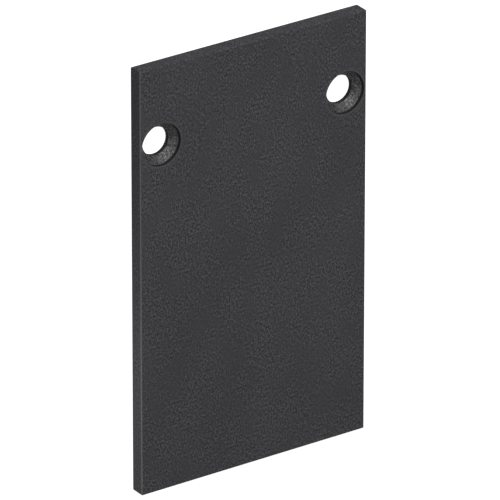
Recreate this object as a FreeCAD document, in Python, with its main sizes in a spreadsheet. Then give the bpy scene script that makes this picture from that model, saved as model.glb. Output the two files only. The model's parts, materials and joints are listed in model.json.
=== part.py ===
import FreeCAD, Part
import os
import Sketcher

# Track end cap: one flat metal plate that closes the end of a surface track.
# The plate lies on its back. X runs across it, Y runs along it towards the
# screw holes, and Z goes up through it. The origin is the middle of the back.
# Lengths are in millimetres and angles in degrees.

SIZES = (
    ("plate_width", 32.0, "Side edge to side edge"),
    ("plate_height", 55.0, "Bottom edge to top edge"),
    ("plate_thickness", 2.0, "Back face to front face, coating included"),
    ("edge_rounding", 0.15, "Radius that the coating leaves on outer edges and the holes' back rims"),
    ("screw_hole_diameter", 3.6, "Clearance hole of an M3 screw"),
    ("cone_width", 0.9, "Countersink seen from the front, hole wall to rim"),
    ("cone_angle", 90.0, "Included angle of the countersink"),
    ("mouth_depth", 0.45, "Straight wall between the front face and the cone"),
    ("rim_rounding", 0.1, "Radius that the coating leaves on a countersink's rim"),
    ("rim_strip", 0.05, "Flat strip between a countersink's rounded rim and the rounded side edge"),
    ("hole_drop", 10.0, "Top edge to the axes of the screw holes"),
)

# What follows from those sizes, as expressions on the sheet.
COUNTERSINK_DIAMETER = "(sizes.screw_hole_diameter + 2 * sizes.cone_width)"
RIM_MARGIN = "(sizes.rim_rounding + sizes.rim_strip + sizes.edge_rounding)"
HOLE_INSET = f"({COUNTERSINK_DIAMETER} / 2 + {RIM_MARGIN})"
HOLE_SPACING = f"sizes.plate_width - 2 * {HOLE_INSET}"
HOLE_HEIGHT = "sizes.plate_height / 2 - sizes.hole_drop"

# How a constraint numbers the sketch's origin and upright axis, and the points of an edge.
ORIGIN, VERTICAL_AXIS = range(-1, -3, -1)
START, END, CENTRE = range(1, 4)

# How near two measures lie that count as the same.
SAME = 1e-6


def make_sheet(document):
    """The driving dimensions, one row each: name, value, meaning."""
    sheet = document.addObject("Spreadsheet::Sheet", "sizes")
    for row, (name, value, meaning) in enumerate(SIZES, start=1):
        sheet.set(f"A{row}", name)
        sheet.set(f"B{row}", str(value))
        sheet.set(f"C{row}", meaning)
        sheet.setAlias(f"B{row}", name)
    document.recompute()
    return sheet


def add_sketch(body, name):
    """A sketch on the body's own XY plane, which is the plate's back face."""
    sketch = body.newObject("Sketcher::SketchObject", name)
    back = next(plane for plane in body.Origin.OriginFeatures if plane.Role == "XY_Plane")
    sketch.AttachmentSupport = [(back, "")]
    sketch.MapMode = "FlatFace"
    return sketch


def bind(sketch, constraint, expression):
    """Adds a dimension to the sketch and ties it to the sheet."""
    index = sketch.addConstraint(constraint)
    sketch.setExpression(f"Constraints[{index}]", expression)


def draw_outline(body, sheet):
    """The plate's outline, a rectangle centred on the origin."""
    sketch = add_sketch(body, "outline")
    width, height = sheet.plate_width, sheet.plate_height
    corners = [
        FreeCAD.Vector(-width / 2, -height / 2, 0),
        FreeCAD.Vector(width / 2, -height / 2, 0),
        FreeCAD.Vector(width / 2, height / 2, 0),
        FreeCAD.Vector(-width / 2, height / 2, 0),
    ]
    bottom, right, top, left = range(4)
    sides = (bottom, right, top, left)
    for side in sides:
        following = (side + 1) % len(sides)
        sketch.addGeometry(Part.LineSegment(corners[side], corners[following]), False)
    for side in sides:
        following = (side + 1) % len(sides)
        sketch.addConstraint(Sketcher.Constraint("Coincident", side, END, following, START))
    for side in (bottom, top):
        sketch.addConstraint(Sketcher.Constraint("Horizontal", side))
    for side in (right, left):
        sketch.addConstraint(Sketcher.Constraint("Vertical", side))
    sketch.addConstraint(Sketcher.Constraint("Symmetric", bottom, START, right, END, ORIGIN, START))
    bind(
        sketch,
        Sketcher.Constraint("DistanceX", bottom, START, bottom, END, width),
        "sizes.plate_width",
    )
    bind(
        sketch,
        Sketcher.Constraint("DistanceY", right, START, right, END, height),
        "sizes.plate_height",
    )
    return sketch


def draw_screw_places(body, sheet):
    """Two circles on the front face, one at each screw's place, alike about the middle."""
    sketch = add_sketch(body, "screw_places")
    sketch.setExpression(".AttachmentOffset.Base.z", "sizes.plate_thickness")
    radius = sheet.screw_hole_diameter / 2
    left, right = range(2)
    for side in (-1, 1):
        place = FreeCAD.Vector(side * sheet.plate_width / 4, sheet.plate_height / 4, 0)
        sketch.addGeometry(Part.Circle(place, FreeCAD.Vector(0, 0, 1), radius), False)
    sketch.addConstraint(Sketcher.Constraint("Equal", left, right))
    bind(
        sketch,
        Sketcher.Constraint("Diameter", left, 2 * radius),
        "sizes.screw_hole_diameter",
    )
    sketch.addConstraint(
        Sketcher.Constraint("Symmetric", left, CENTRE, right, CENTRE, VERTICAL_AXIS)
    )
    bind(
        sketch,
        Sketcher.Constraint("DistanceX", left, CENTRE, right, CENTRE, sheet.plate_width / 2),
        HOLE_SPACING,
    )
    bind(
        sketch,
        Sketcher.Constraint("DistanceY", ORIGIN, START, left, CENTRE, sheet.plate_height / 4),
        HOLE_HEIGHT,
    )
    return sketch


def pad_plate(body, outline):
    """The sheet stock, cut to the outline."""
    plate = body.newObject("PartDesign::Pad", "plate")
    plate.Profile = outline
    plate.setExpression("Length", "sizes.plate_thickness")
    return plate


def round_edges(document, body, plate):
    """The coating's small radius on all twelve outer edges, which holds off the rims."""
    document.recompute()
    rounding = body.newObject("PartDesign::Fillet", "coated_edges")
    edges = [f"Edge{number}" for number in range(1, len(plate.Shape.Edges) + 1)]
    rounding.Base = (plate, edges)
    rounding.setExpression("Radius", "sizes.edge_rounding")
    return rounding


def countersink_holes(document, body, places):
    """A through hole at each place, with a straight mouth and then a cone for the screw head."""
    holes = body.newObject("PartDesign::Hole", "screw_holes")
    holes.Profile = places
    document.recompute()
    holes.ThreadType = "None"
    holes.DepthType = "ThroughAll"
    holes.HoleCutType = "Counterdrill"
    holes.HoleCutCustomValues = True
    holes.setExpression("Diameter", "sizes.screw_hole_diameter")
    holes.setExpression("HoleCutDiameter", COUNTERSINK_DIAMETER)
    holes.setExpression("HoleCutDepth", "sizes.mouth_depth")
    holes.setExpression("HoleCutCountersinkAngle", "sizes.cone_angle")
    return holes


def round_edges_at(shape, height, diameter):
    """Names of the shape's round edges at that height and of that diameter."""
    found = []
    for number, edge in enumerate(shape.Edges, start=1):
        if edge.Degenerated or not isinstance(edge.Curve, Part.Circle):
            continue
        circle = edge.Curve
        if abs(circle.Center.z - height) < SAME and abs(2 * circle.Radius - diameter) < SAME:
            found.append(f"Edge{number}")
    return found


def round_rims(document, body, holes, sheet):
    """The coating's radius on the countersinks' front rims, and on the holes' rims in the back."""
    front_height, back_height = sheet.plate_thickness, 0
    document.recompute()
    front = body.newObject("PartDesign::Fillet", "coated_front_rims")
    rims = round_edges_at(holes.Shape, front_height, holes.HoleCutDiameter.Value)
    front.Base = (holes, rims)
    front.setExpression("Radius", "sizes.rim_rounding")
    document.recompute()
    back = body.newObject("PartDesign::Fillet", "coated_back_rims")
    rims = round_edges_at(front.Shape, back_height, holes.Diameter.Value)
    back.Base = (front, rims)
    back.setExpression("Radius", "sizes.edge_rounding")
    return back


def make_end_plate(document, sheet):
    """The one piece: padded plate, rounded edges, two countersunk holes and their rounded rims."""
    body = document.addObject("PartDesign::Body", "EndPlate")
    body.Label = "end_plate"
    outline = draw_outline(body, sheet)
    plate = pad_plate(body, outline)
    rounding = round_edges(document, body, plate)
    places = draw_screw_places(body, sheet)
    holes = countersink_holes(document, body, places)
    rims = round_rims(document, body, holes, sheet)
    document.recompute()
    if not rims.Shape.Volume < holes.Shape.Volume < rounding.Shape.Volume:
        raise RuntimeError("The screw holes or their rims cut nothing from the plate.")
    return body


def check(document, bodies):
    """Stops on a failed feature, or on a piece that isn't one valid solid."""
    for item in document.Objects:
        if "Invalid" in item.State or "Error" in item.State:
            raise RuntimeError(f"{item.Name} failed: {item.State}")
    for body in bodies:
        shape = body.Shape
        if shape.isNull() or not shape.isValid() or len(shape.Solids) != 1:
            raise RuntimeError(f"{body.Label} is not one valid solid.")


def export(bodies):
    """One STEP file for each piece, named by its label."""
    os.makedirs("parts", exist_ok=True)
    for body in bodies:
        body.Shape.exportStep(f"parts/{body.Label}.step")
        box = body.Shape.optimalBoundingBox()
        size = f"{box.XLength:.3f} x {box.YLength:.3f} x {box.ZLength:.3f} mm"
        print(f"{body.Label}: {size}, {body.Shape.Volume:.2f} mm3")


document = FreeCAD.newDocument("TrackEndCap")
sizes = make_sheet(document)
pieces = [make_end_plate(document, sizes)]
check(document, pieces)
export(pieces)
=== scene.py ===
import json
import math

import bmesh
import bpy
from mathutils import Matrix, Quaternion, Vector


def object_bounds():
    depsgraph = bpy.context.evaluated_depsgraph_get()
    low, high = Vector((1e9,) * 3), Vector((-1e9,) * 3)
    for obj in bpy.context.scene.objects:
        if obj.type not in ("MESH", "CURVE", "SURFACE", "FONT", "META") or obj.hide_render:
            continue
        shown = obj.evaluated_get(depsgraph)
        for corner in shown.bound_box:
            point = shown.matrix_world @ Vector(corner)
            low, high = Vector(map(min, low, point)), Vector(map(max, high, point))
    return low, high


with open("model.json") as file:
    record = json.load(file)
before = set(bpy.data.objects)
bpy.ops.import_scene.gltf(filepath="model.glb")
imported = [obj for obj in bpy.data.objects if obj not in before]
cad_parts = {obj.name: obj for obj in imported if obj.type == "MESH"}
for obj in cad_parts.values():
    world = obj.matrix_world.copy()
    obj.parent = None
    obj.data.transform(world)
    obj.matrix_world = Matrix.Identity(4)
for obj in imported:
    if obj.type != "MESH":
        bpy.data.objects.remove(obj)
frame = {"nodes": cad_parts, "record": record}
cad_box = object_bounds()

# End plate.
# Sawn from 2 mm aluminium sheet, drilled and countersunk for two screws, and sprayed with
# black powder baked to a sandy matte, thin and grey on the cones; painted highlights on its side
# edges and rims, painted shade in the bores.
end_plate = frame["nodes"]["end_plate"]
plate_low, plate_high = cad_box
mount_places = {mount["name"]: Vector(mount["pos_m"]) for mount in frame["record"]["mounts"]}
hole_place = mount_places["right_screw_hole"]

# Where each finish, painted highlight and painted shade starts and ends: radii from a hole's
# axis, heights over the plate's back, and widths and depths from its front edges.
recess_radius = 0.00275
rim_wear_and_glint_radius = 0.0029
back_rim_top = 0.0001
cone_bottom = 0.00065
cone_top = 0.0015
rim_depth = 0.00005
edge_highlight_width = 0.0001
glint_band_depth = 0.00015
mask_softness = 0.00004

face_dark_speck = (0.0265, 0.026, 0.0282, 1.0)
face_black = (0.0455, 0.0446, 0.0482, 1.0)
face_pale_speck = (0.08, 0.0788, 0.084, 1.0)
cone_dark_speck = (0.0185, 0.0182, 0.0192, 1.0)
cone_grey = (0.06, 0.0591, 0.061, 1.0)
cone_pale_speck = (0.12, 0.1183, 0.1215, 1.0)
# Painted shade: the hole walls are coloured darker than the face, for the shade in the bores.
wall_shade_black = (0.019, 0.0188, 0.0195, 1.0)
# Painted highlight: a pale line along both side edges of the plate at the front.
edge_highlight = (0.098, 0.097, 0.0995, 1.0)
# A pale ring at each hole's rim, partly wear and partly a painted glint.
rim_wear_and_glint = (0.062, 0.061, 0.0635, 1.0)

# Sizes of the coat's grains, patches and flow, and the range that most of a noise pattern fills.
sand_size = 0.0002
cone_sand_size = 0.00016
patch_size = 0.0026
flow_size = 0.008
grain_stretch = (1.0, 0.66, 1.0)
grain_detail = 2.0
flow_detail = 3.0
noise_roughness = 0.6
noise_low = 0.34
noise_middle = 0.5
noise_high = 0.66

patch_contrast = (0.35, 1.55)
flow_tones = (0.48, 0.52)
# How strongly the painted edge highlight and the rims' painted glint and wear show along the
# flow.
glint_and_wear_shares = (0.75, 1.0)
sand_bump_height = 0.00003
flow_bump_height = 0.00002
coat_index = 1.5
coat_shine = 0.06
coat_roughness = (0.7, 0.82)
cone_roughness = 0.57
cone_bareness = 0.7

coat = bpy.data.materials.new("black_powder_coat")
coat.use_nodes = True
nodes = coat.node_tree.nodes
links = coat.node_tree.links
shader = nodes["Principled BSDF"]
shader.inputs["IOR"].default_value = coat_index
shader.inputs["Specular IOR Level"].default_value = coat_shine
place = nodes.new("ShaderNodeTexCoord").outputs["Object"]


def vector_step(operation, vector, other=(0.0, 0.0, 0.0)):
    """One step of a sum on vectors."""
    node = nodes.new("ShaderNodeVectorMath")
    node.operation = operation
    links.new(vector, node.inputs[0])
    node.inputs[1].default_value = other
    return node.outputs


def parts_of(vector):
    """The three numbers of a vector, by their axis."""
    node = nodes.new("ShaderNodeSeparateXYZ")
    links.new(vector, node.inputs["Vector"])
    return node.outputs


def spread(value, low, high, to_low=0.0, to_high=1.0):
    """The value carried from one range over to another, and held inside that."""
    node = nodes.new("ShaderNodeMapRange")
    node.inputs["From Min"].default_value = low
    node.inputs["From Max"].default_value = high
    node.inputs["To Min"].default_value = to_low
    node.inputs["To Max"].default_value = to_high
    links.new(value, node.inputs["Value"])
    return node.outputs["Result"]


def above(value, edge):
    """A mask that is one where the value lies above the edge."""
    return spread(value, edge - mask_softness, edge + mask_softness)


def below(value, edge):
    """A mask that is one where the value lies below the edge."""
    return spread(value, edge + mask_softness, edge - mask_softness)


def together(*masks):
    """A mask that is one where all the given masks are."""
    result = masks[0]
    for mask in masks[1:]:
        node = nodes.new("ShaderNodeMath")
        node.operation = "MULTIPLY"
        links.new(result, node.inputs[0])
        links.new(mask, node.inputs[1])
        result = node.outputs["Value"]
    return result


def grains(size, detail=grain_detail):
    """A noise pattern with grains of that size across the plate, and a little longer along it."""
    noise = nodes.new("ShaderNodeTexNoise")
    noise.inputs["Scale"].default_value = 1.0 / size
    noise.inputs["Detail"].default_value = detail
    noise.inputs["Roughness"].default_value = noise_roughness
    links.new(stretched, noise.inputs["Vector"])
    return noise.outputs["Fac"]


def from_noise(pattern, low, high):
    """A noise pattern's usual range carried over to the range given."""
    return spread(pattern, noise_low, noise_high, low, high)


def speckle(pattern, dark, middle, pale):
    """Colours a pattern from dark specks through the coat's own tone to pale specks."""
    ramp = nodes.new("ShaderNodeValToRGB")
    first, last = ramp.color_ramp.elements
    first.position, first.color = noise_low, dark
    last.position, last.color = noise_high, pale
    halfway = ramp.color_ramp.elements.new(noise_middle)
    halfway.color = middle
    links.new(pattern, ramp.inputs["Fac"])
    return ramp.outputs["Color"]


def lay_over(mask, under, over):
    """One colour laid over another where the mask is one."""
    mix = nodes.new("ShaderNodeMix")
    mix.data_type = "RGBA"
    links.new(mask, mix.inputs["Factor"])
    factor, under_socket, over_socket = (item for item in mix.inputs if item.enabled)
    links.new(under, under_socket)
    if isinstance(over, tuple):
        over_socket.default_value = over
    else:
        links.new(over, over_socket)
    return next(item for item in mix.outputs if item.enabled)


def bump(pattern, height, under=None):
    """Raises the surface by that height where the pattern is one."""
    node = nodes.new("ShaderNodeBump")
    node.inputs["Distance"].default_value = height
    links.new(pattern, node.inputs["Height"])
    if under is not None:
        links.new(under, node.inputs["Normal"])
    return node.outputs["Normal"]


# Where each finish, painted highlight and painted shade lies. Both holes are found at once, as
# the plate is alike about its middle.
position = parts_of(place)
mirrored = vector_step("ABSOLUTE", place)["Vector"]
from_middle = parts_of(mirrored)["X"]
from_hole = vector_step("SUBTRACT", mirrored, hole_place)["Vector"]
flattened = vector_step("MULTIPLY", from_hole, (1.0, 1.0, 0.0))["Vector"]
radius = vector_step("LENGTH", flattened)["Value"]
upper_half = above(position["Y"], 0.0)
near_front = above(position["Z"], plate_high.z - glint_band_depth)
in_recess = together(below(radius, recess_radius), upper_half)
# The hole walls, where the painted shade goes.
on_shaded_wall = together(
    in_recess,
    above(position["Z"], back_rim_top),
    below(position["Z"], plate_high.z - rim_depth),
)
on_cone = together(in_recess, above(position["Z"], cone_bottom), below(position["Z"], cone_top))

# The sand texture, stronger in some patches than in others, on a slow flow of the powder.
stretched = vector_step("MULTIPLY", place, grain_stretch)["Vector"]
flow = grains(flow_size, flow_detail)
patchy_sand = nodes.new("ShaderNodeMath")
patchy_sand.operation = "MULTIPLY_ADD"
even_sand = spread(grains(sand_size), 0.0, 1.0, -noise_middle, noise_middle)
links.new(even_sand, patchy_sand.inputs[0])
links.new(from_noise(grains(patch_size), *patch_contrast), patchy_sand.inputs[1])
links.new(from_noise(flow, *flow_tones), patchy_sand.inputs[2])
sand = patchy_sand.outputs["Value"]

# Colour, from the plain face over the rims' painted glint and wear and the edges' painted
# highlight to the walls' painted shade and the cones.
# The painted edge highlight and the rims' painted glint and wear, uneven along the powder's flow.
glint_and_wear = from_noise(flow, *glint_and_wear_shares)
# Painted glint, partly wear, in a ring round each hole's rim.
on_rim_wear_and_glint = together(below(radius, rim_wear_and_glint_radius), upper_half, near_front, glint_and_wear)
# Painted highlight along both side edges at the front.
on_edge_highlight = together(above(from_middle, plate_high.x - edge_highlight_width), near_front, glint_and_wear)
cone_colour = speckle(grains(cone_sand_size), cone_dark_speck, cone_grey, cone_pale_speck)
colour = speckle(sand, face_dark_speck, face_black, face_pale_speck)
# Painted glint, partly wear, laid on the rims.
colour = lay_over(on_rim_wear_and_glint, colour, rim_wear_and_glint)
# Painted highlight laid on the side edges.
colour = lay_over(on_edge_highlight, colour, edge_highlight)
# Painted shade laid on the hole walls.
colour = lay_over(on_shaded_wall, colour, wall_shade_black)
colour = lay_over(on_cone, colour, cone_colour)
links.new(colour, shader.inputs["Base Color"])

# The thin powder on the cones lets some bare metal shine through.
links.new(spread(on_cone, 0.0, 1.0, 0.0, cone_bareness), shader.inputs["Metallic"])
roughness = spread(on_cone, 0.0, 1.0, 0.0, cone_roughness)
links.new(spread(flow, 0.0, 1.0, *coat_roughness), roughness.node.inputs["To Min"])
links.new(roughness, shader.inputs["Roughness"])

sand_bump = bump(sand, sand_bump_height, under=bump(flow, flow_bump_height))
links.new(sand_bump, shader.inputs["Normal"])

end_plate.data.materials.clear()
end_plate.data.materials.append(coat)

# Floor that the plate lies on.
# A plain white table, whose own light to the camera is topped up to paper white
# while it keeps the plate's shadow.
floor_half_width = 1.5
floor_drop = 0.00001
floor_colour = (0.35, 0.35, 0.35, 1.0)
floor_roughness = 0.9
floor_shine = 0.0
floor_own_light = 0.95
paper_white = (1.0, 1.0, 1.0, 1.0)

floor_mesh = bpy.data.meshes.new("floor")
floor_form = bmesh.new()
bmesh.ops.create_grid(floor_form, x_segments=1, y_segments=1, size=floor_half_width)
floor_place = Vector((0.0, 0.0, plate_low.z - floor_drop))
bmesh.ops.translate(floor_form, verts=floor_form.verts, vec=floor_place)
floor_form.to_mesh(floor_mesh)
floor_form.free()
floor = bpy.data.objects.new("floor", floor_mesh)
bpy.context.collection.objects.link(floor)


def larger_of(tree, first, second):
    """The larger of two values."""
    node = tree.nodes.new("ShaderNodeMath")
    node.operation = "MAXIMUM"
    tree.links.new(first, node.inputs[0])
    tree.links.new(second, node.inputs[1])
    return node.outputs["Value"]


def seen_directly(tree):
    """One where the camera, a reflection or a clear view looks at the surface, or else nought."""
    path = tree.nodes.new("ShaderNodeLightPath").outputs
    seen = larger_of(tree, path["Is Camera Ray"], path["Is Glossy Ray"])
    return larger_of(tree, seen, path["Is Transmission Ray"])


table = bpy.data.materials.new("white_table")
table.use_nodes = True
tree = table.node_tree
surface = tree.nodes["Principled BSDF"]
surface.inputs["Base Color"].default_value = floor_colour
surface.inputs["Roughness"].default_value = floor_roughness
surface.inputs["Specular IOR Level"].default_value = floor_shine
surface.inputs["Emission Color"].default_value = paper_white
own_light = tree.nodes.new("ShaderNodeMath")
own_light.operation = "MULTIPLY"
own_light.inputs[1].default_value = floor_own_light
tree.links.new(seen_directly(tree), own_light.inputs[0])
tree.links.new(own_light.outputs["Value"], surface.inputs["Emission Strength"])
floor_mesh.materials.append(table)

# Studio light.
# A soft box high over the screw holes' end, a tiny one low beside the left edge, a weak one
# far off at the right, and a plain dim room all round.
key_power = 2.85
key_size = 0.35
key_distance = 0.5
key_direction = Vector((-0.15, 0.69, 0.71))
fill_power = 0.0045
fill_size = 0.006
fill_place = Vector((-0.041, -0.014, 0.0025))
far_power = 0.8
far_size = 0.6
far_distance = 0.9
far_direction = Vector((0.66, -0.55, 0.5))
room_level = 0.12


def soft_box(name, position, aim, power, size):
    """A square area light at that place, turned to face a point of the plate."""
    lamp = bpy.data.lights.new(name, "AREA")
    lamp.shape = "SQUARE"
    lamp.size = size
    lamp.energy = power
    box = bpy.data.objects.new(name, lamp)
    box.location = position
    box.rotation_mode = "QUATERNION"
    box.rotation_quaternion = (aim - position).to_track_quat("-Z", "Y")
    box.visible_camera = False
    bpy.context.collection.objects.link(box)


plate_centre = (plate_low + plate_high) / 2
key_place = plate_centre + key_direction.normalized() * key_distance
far_place = plate_centre + far_direction.normalized() * far_distance
fill_aim = Vector((plate_low.x, fill_place.y, plate_centre.z))
soft_box("key_light", key_place, plate_centre, key_power, key_size)
soft_box("fill_light", fill_place, fill_aim, fill_power, fill_size)
soft_box("far_light", far_place, plate_centre, far_power, far_size)

world = bpy.data.worlds.new("studio")
bpy.context.scene.world = world
world.use_nodes = True
tree = world.node_tree
room = tree.nodes["Background"]
room.inputs["Color"].default_value = paper_white
room_light = tree.nodes.new("ShaderNodeMapRange")
room_light.inputs["To Min"].default_value = room_level
room_light.inputs["To Max"].default_value = 1.0
tree.links.new(seen_directly(tree), room_light.inputs["Value"])
tree.links.new(room_light.outputs["Result"], room.inputs["Strength"])

# Camera.
# A long lens looks down on the lying plate from over its top left corner, and is
# rolled so that the screw holes come out at the top of the picture.
camera_azimuth = math.radians(-130.41)
camera_elevation = math.radians(48.29)
camera_roll = math.radians(122.47)
camera_range = 1.0623
camera_lens = 648.8
sensor_width = 36.0
nearest_seen = 0.1
farthest_seen = 10.0
picture_centre = Vector((-0.00057, 0.00064, plate_high.z))

camera_data = bpy.data.cameras.new("camera")
camera_data.lens = camera_lens
camera_data.sensor_width = sensor_width
camera_data.clip_start = nearest_seen
camera_data.clip_end = farthest_seen
camera = bpy.data.objects.new("camera", camera_data)
away = Vector((
    math.sin(camera_azimuth) * math.cos(camera_elevation),
    -math.cos(camera_azimuth) * math.cos(camera_elevation),
    math.sin(camera_elevation),
))
camera.location = picture_centre + away * camera_range
camera.rotation_mode = "QUATERNION"
level = (-away).to_track_quat("-Z", "Y")
camera.rotation_quaternion = level @ Quaternion((0, 0, 1), camera_roll)
bpy.context.collection.objects.link(camera)
bpy.context.scene.camera = camera
bpy.context.scene.view_settings.view_transform = "Standard"
